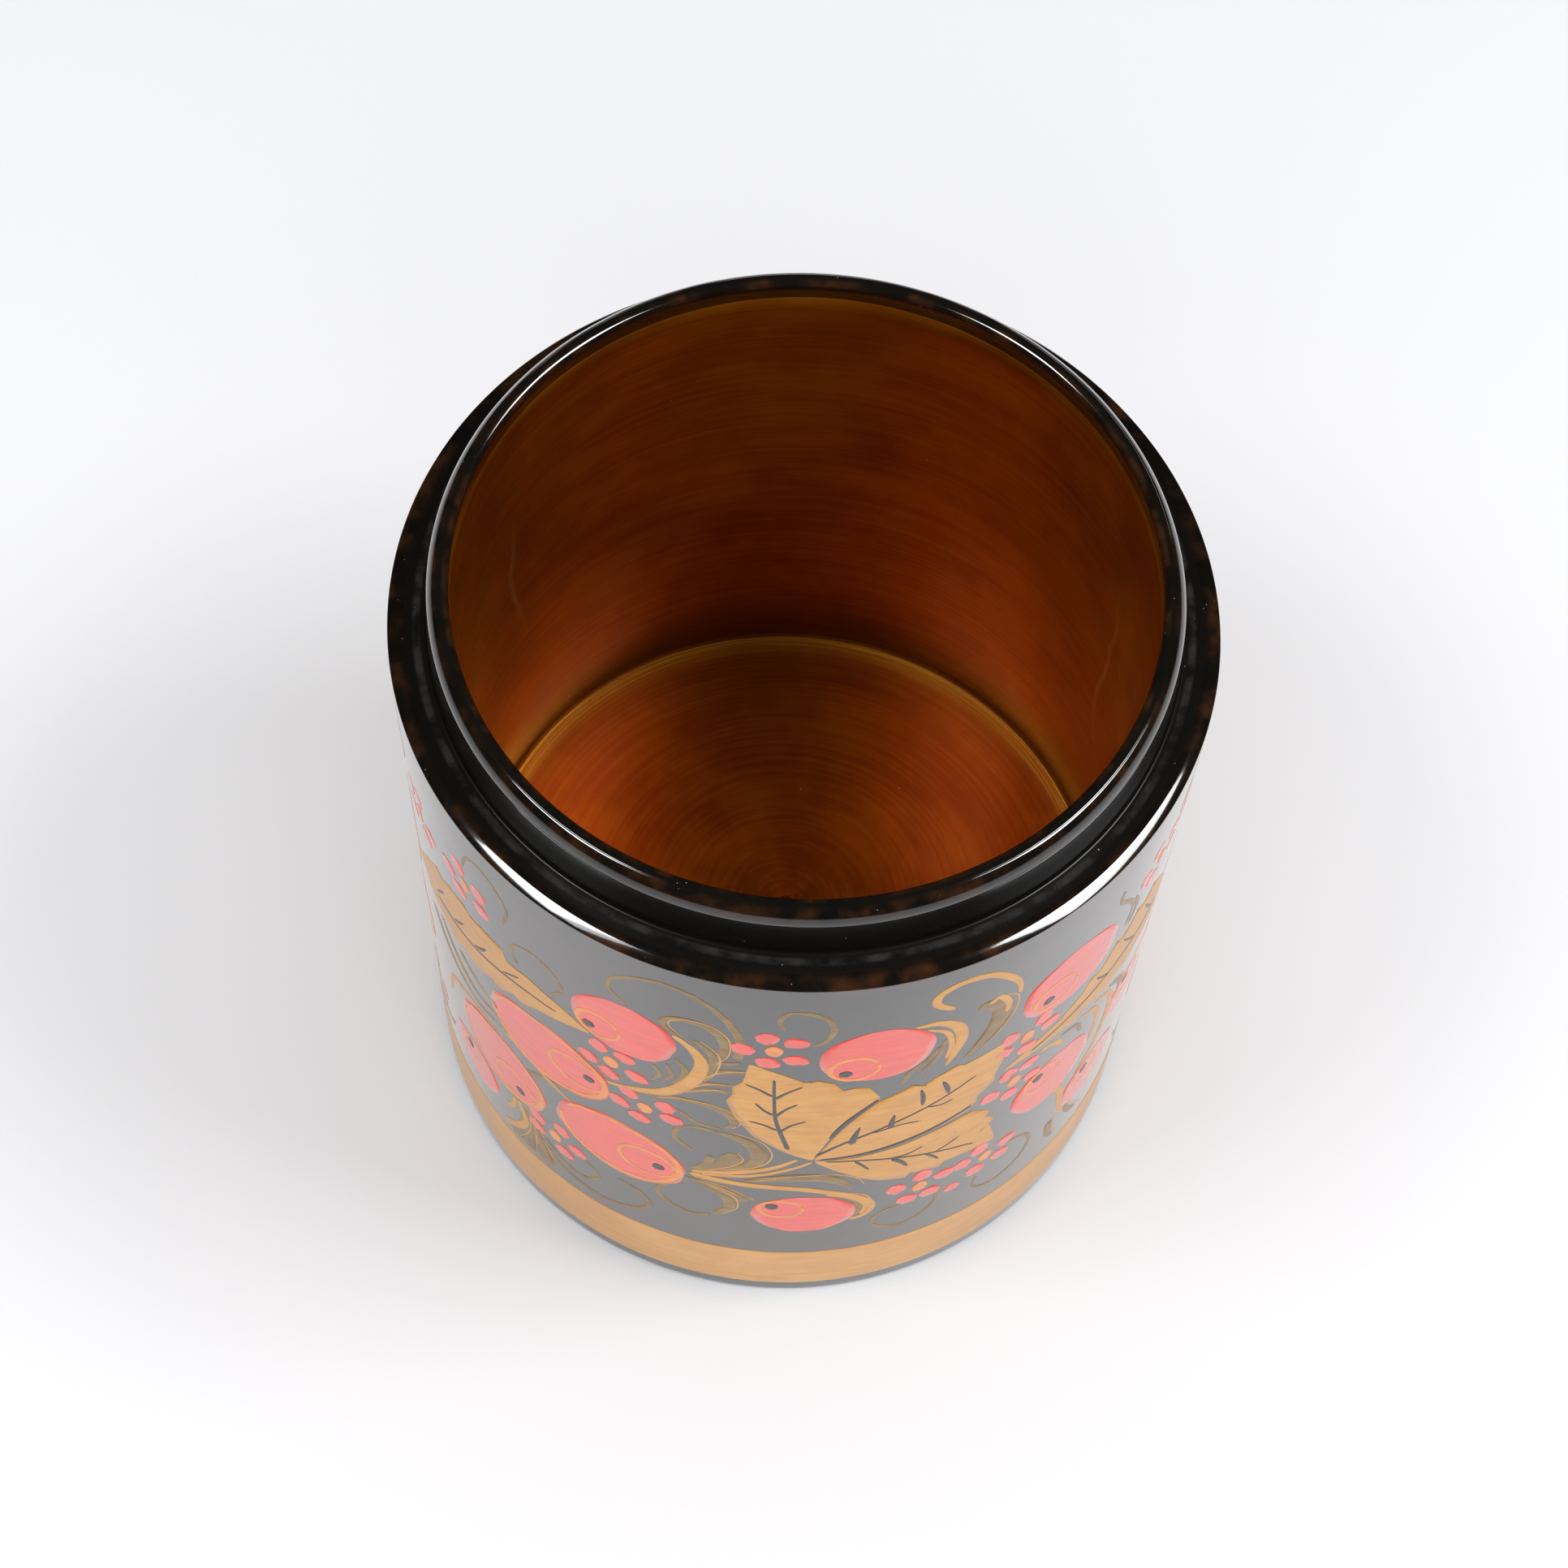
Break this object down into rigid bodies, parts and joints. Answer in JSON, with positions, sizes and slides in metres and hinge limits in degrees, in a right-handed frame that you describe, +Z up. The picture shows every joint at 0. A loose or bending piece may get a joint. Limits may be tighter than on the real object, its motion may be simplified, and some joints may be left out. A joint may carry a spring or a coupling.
{
  "type": "pen cup",
  "caption": "Free-standing turned wooden pen cup, black lacquer outside with painted berry and leaf ornament, gold-lacquered hollow, stepped rim with a plain neck.",
  "frame": {"origin": "centre of the foot, on the table plane", "axes": "+Z up along the turning axis; -Y towards the side with the main leaf of the painted ornament; +X to the right of it"},
  "size_m": [0.088, 0.088, 0.0943],
  "materials": {
    "limewood": "turned bare limewood, fine lathe rings",
    "black_lacquer": "high-gloss baked varnish over black ground, worn brown at edges",
    "gold_lacquer": "amber varnish over a bright metallic ground, gloss",
    "gold_paint": "ochre gold under gloss varnish",
    "red_paint": "coral red under gloss varnish",
    "olive_paint": "thin olive gold line work under gloss varnish"
  },
  "bodies": {
    "root": {"side_wall": "limewood", "base_block": "limewood", "outer_lacquer": "black_lacquer", "inner_lacquer": "gold_lacquer", "underside_lacquer": "black_lacquer", "foot_band": "gold_paint"}
  },
  "joints": []
}
